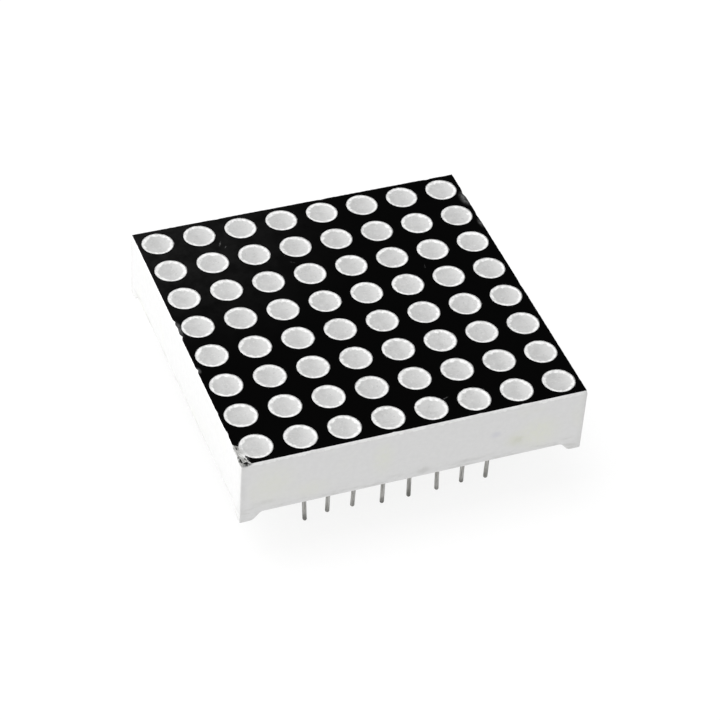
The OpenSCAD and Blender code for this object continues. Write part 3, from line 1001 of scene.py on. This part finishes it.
def trackRoutes():
    routes = []
    columns = [(k - (rows - 1) / 2) * pitch for k in range(rows)]
    front, back = leadSpots[0].y, leadSpots[8].y
    for k, x in enumerate(columns):
        lead = leadSpots[k].x
        lane = front + 1.4 + 0.75 * min(k, rows - 1 - k)
        bend = x - 1.1 if x < 0 else x + 1.1
        routes.append([(lead, front), (lead, lane), (bend, lane + abs(bend - lead) * 0.35),
                       (bend, 13.6 if k % 2 else 12.4)])
    for k in range(rows):
        lead = leadSpots[15 - k].x
        y = (k - (rows - 1) / 2) * pitch + 1.2
        lane = back - 1.2 - 0.5 * min(k, rows - 1 - k)
        side = -14.1 + 0.28 * k if k < rows / 2 else 14.1 - 0.28 * (rows - 1 - k)
        if y < lane - 0.5:
            routes.append([(lead, back), (lead, lane), (side, lane), (side, y)])
    return routes


def trackTree(inputs, material):
    tree, given = newTree("trackTree", inputs)
    g = {s.name: s for s in given}
    lines = addNode(tree, "GeometryNodeMeshToCurve", given[0]).outputs[0]
    bar = addNode(tree, "GeometryNodeCurvePrimitiveQuadrilateral", g["Width"], g["Thickness"],
                  mode="RECTANGLE").outputs[0]
    strips = addNode(tree, "GeometryNodeCurveToMesh", lines, bar, Fill_Caps=True).outputs[0]
    finishTree(tree, strips, material)
    return tree


print("stage: tracks")
points, edges = [], []
for route in trackRoutes():
    start = len(points)
    points += [(*p, boardLow.z - 0.02) for p in route]
    edges += [(start + k, start + k + 1) for k in range(len(route) - 1)]
tracks = growPiece("maskedTracks", trackTree(maskedTracks, maskedCopper), maskedTracks,
                   meshFrom("trackLines", points, [], edges))

# cast resin over the board's back
backResin = {"steps": 96, "cornerRadius": 1.0, "wallClimb": 0.22, "wallReach": 0.5,
             "leadClimb": 0.16, "leadReach": 0.35, "swell": 0.05, "seed": 4}


def resinSurface(x, y, size):
    edge = cavityHalf - max(abs(x), abs(y))
    near = min(math.hypot(x - p.x, y - p.y) for p in leadSpots) - leadRadius
    climb = size["wallClimb"] * math.exp(-max(edge, 0) / size["wallReach"])
    climb += size["leadClimb"] * math.exp(-max(near, 0) / size["leadReach"])
    swell = size["swell"] * noise.noise(Vector((x * 0.12, y * 0.12, size["seed"])))
    return sealZ - climb + swell


def buildBackResin(size):
    shell = Shell()
    steps = size["steps"]
    ticks = [math.sin(math.pi / 2 * (2 * k / steps - 1)) * 0.35 + (2 * k / steps - 1) * 0.65
             for k in range(steps + 1)]
    reach = cavityHalf - 0.004
    radius = size["cornerRadius"]

    def plan(u, v):
        x, y = u * reach, v * reach
        inset = reach - radius
        if abs(x) > inset and abs(y) > inset:
            dx, dy = abs(x) - inset, abs(y) - inset
            span = max(dx, dy) / max(math.hypot(dx, dy), 1e-9)
            x = math.copysign(inset + dx * span, x)
            y = math.copysign(inset + dy * span, y)
        return x, y

    grid = [[plan(u, v) for v in ticks] for u in ticks]
    low = [[(x, y, resinSurface(x, y, size)) for x, y in line] for line in grid]
    high = [[(x, y, boardLow.z) for x, y in line] for line in grid]
    for i in range(steps):
        for j in range(steps):
            for sheet in (low, high):
                shell.face([sheet[i][j], sheet[i + 1][j], sheet[i + 1][j + 1], sheet[i][j + 1]])
    ring = [(i, 0) for i in range(steps)] + [(steps, j) for j in range(steps)]
    ring += [(steps - i, steps) for i in range(steps)] + [(0, steps - j) for j in range(steps)]
    shell.bridge([low[i][j] for i, j in ring], [high[i][j] for i, j in ring])
    return shell


print("stage: back resin")
resin = placeObject("castBackResin", closedMesh("castBackResin", buildBackResin(backResin), 40),
                    hazyResin)

# what each piece stands for
for piece, slot, nodes in ((mouldedHousing, "white_housing", ["housing"]),
                           (dots, "diffusing_resin", dotNodes),
                           (ink, "black_print", ["face_print"]),
                           (tinnedLeads, "tinned_lead", leadNodes),
                           (solder, "solder", ["solder_joints"]),
                           (tracks, "board", []),
                           (resin, "back_resin", ["back_resin"])):
    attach(piece, body)
    if nodes:
        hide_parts(*nodes)

# floor, light and camera
print("stage: floor, light and camera")
studio = {"floorSize": 1.6, "floorColour": (0.16, 0.16, 0.16), "floorGlow": 0.86,
          "sky": 0.5, "keySize": 0.5, "keyPlace": (-0.2, 0.15, 0.54), "keyPower": 2.9,
          "sideSize": 0.4, "sidePlace": (-0.5, -0.06, 0.16), "sidePower": 1.0}
camera = {"lens": 135.89, "azimuth": -23.1498, "elevation": 41.8477, "roll": 4.124,
          "distance": 243.6088, "slide": (-0.572, 4.4028)}

floorMesh = meshFrom("floor", [(x * studio["floorSize"] / mm / 2, y * studio["floorSize"] / mm / 2,
                                leadTipZ) for x, y in ((-1, -1), (1, -1), (1, 1), (-1, 1))],
                     [(0, 1, 2, 3)])
floorMaterial = bpy.data.materials.new("paleFloor")
floorMaterial.use_nodes = True
floorShader = floorMaterial.node_tree.nodes["Principled BSDF"]
floorShader.inputs["Base Color"].default_value = (*studio["floorColour"], 1)
floorShader.inputs["Roughness"].default_value = 0.9
floorShader.inputs["Specular IOR Level"].default_value = 0.1
floorShader.inputs["Emission Color"].default_value = (1, 1, 1, 1)
floorShader.inputs["Emission Strength"].default_value = studio["floorGlow"]
floor = placeObject("floor", floorMesh, floorMaterial)

world = bpy.data.worlds.new("studio")
bpy.context.scene.world = world
world.use_nodes = True
world.node_tree.nodes["Background"].inputs[0].default_value = (1, 1, 1, 1)
world.node_tree.nodes["Background"].inputs[1].default_value = studio["sky"]


def softLight(name, place, power, size):
    light = bpy.data.lights.new(name, "AREA")
    light.energy, light.size, light.shape = power, size, "SQUARE"
    lamp = bpy.data.objects.new(name, light)
    bpy.context.scene.collection.objects.link(lamp)
    lamp.location = place
    lamp.rotation_mode = "QUATERNION"
    lamp.rotation_quaternion = (Vector((0, 0, 0)) - Vector(place)).to_track_quat("-Z", "Y")
    return lamp


softLight("keyLight", studio["keyPlace"], studio["keyPower"], studio["keySize"])
softLight("sideLight", studio["sidePlace"], studio["sidePower"], studio["sideSize"])

turn, tilt, roll = (math.radians(camera[k]) for k in ("azimuth", "elevation", "roll"))
back = Vector((math.sin(turn) * math.cos(tilt), -math.cos(turn) * math.cos(tilt), math.sin(tilt)))
level = Vector((math.cos(turn), math.sin(turn), 0))
rise = back.cross(level)
right = math.cos(roll) * level + math.sin(roll) * rise
up = math.cos(roll) * rise - math.sin(roll) * level
view = bpy.data.cameras.new("camera")
view.lens, view.sensor_width, view.clip_start, view.clip_end = camera["lens"], 36, 0.01, 10
viewer = bpy.data.objects.new("camera", view)
bpy.context.scene.collection.objects.link(viewer)
target = Vector((0, 0, faceZ)) + back * camera["distance"]
target = (target - right * camera["slide"][0] - up * camera["slide"][1]) * mm
viewer.matrix_world = Matrix.Translation(target) @ Matrix((right, up, back)).transposed().to_4x4()
bpy.context.scene.camera = viewer
bpy.context.scene.view_settings.view_transform = "Standard"

print("stage: finish")
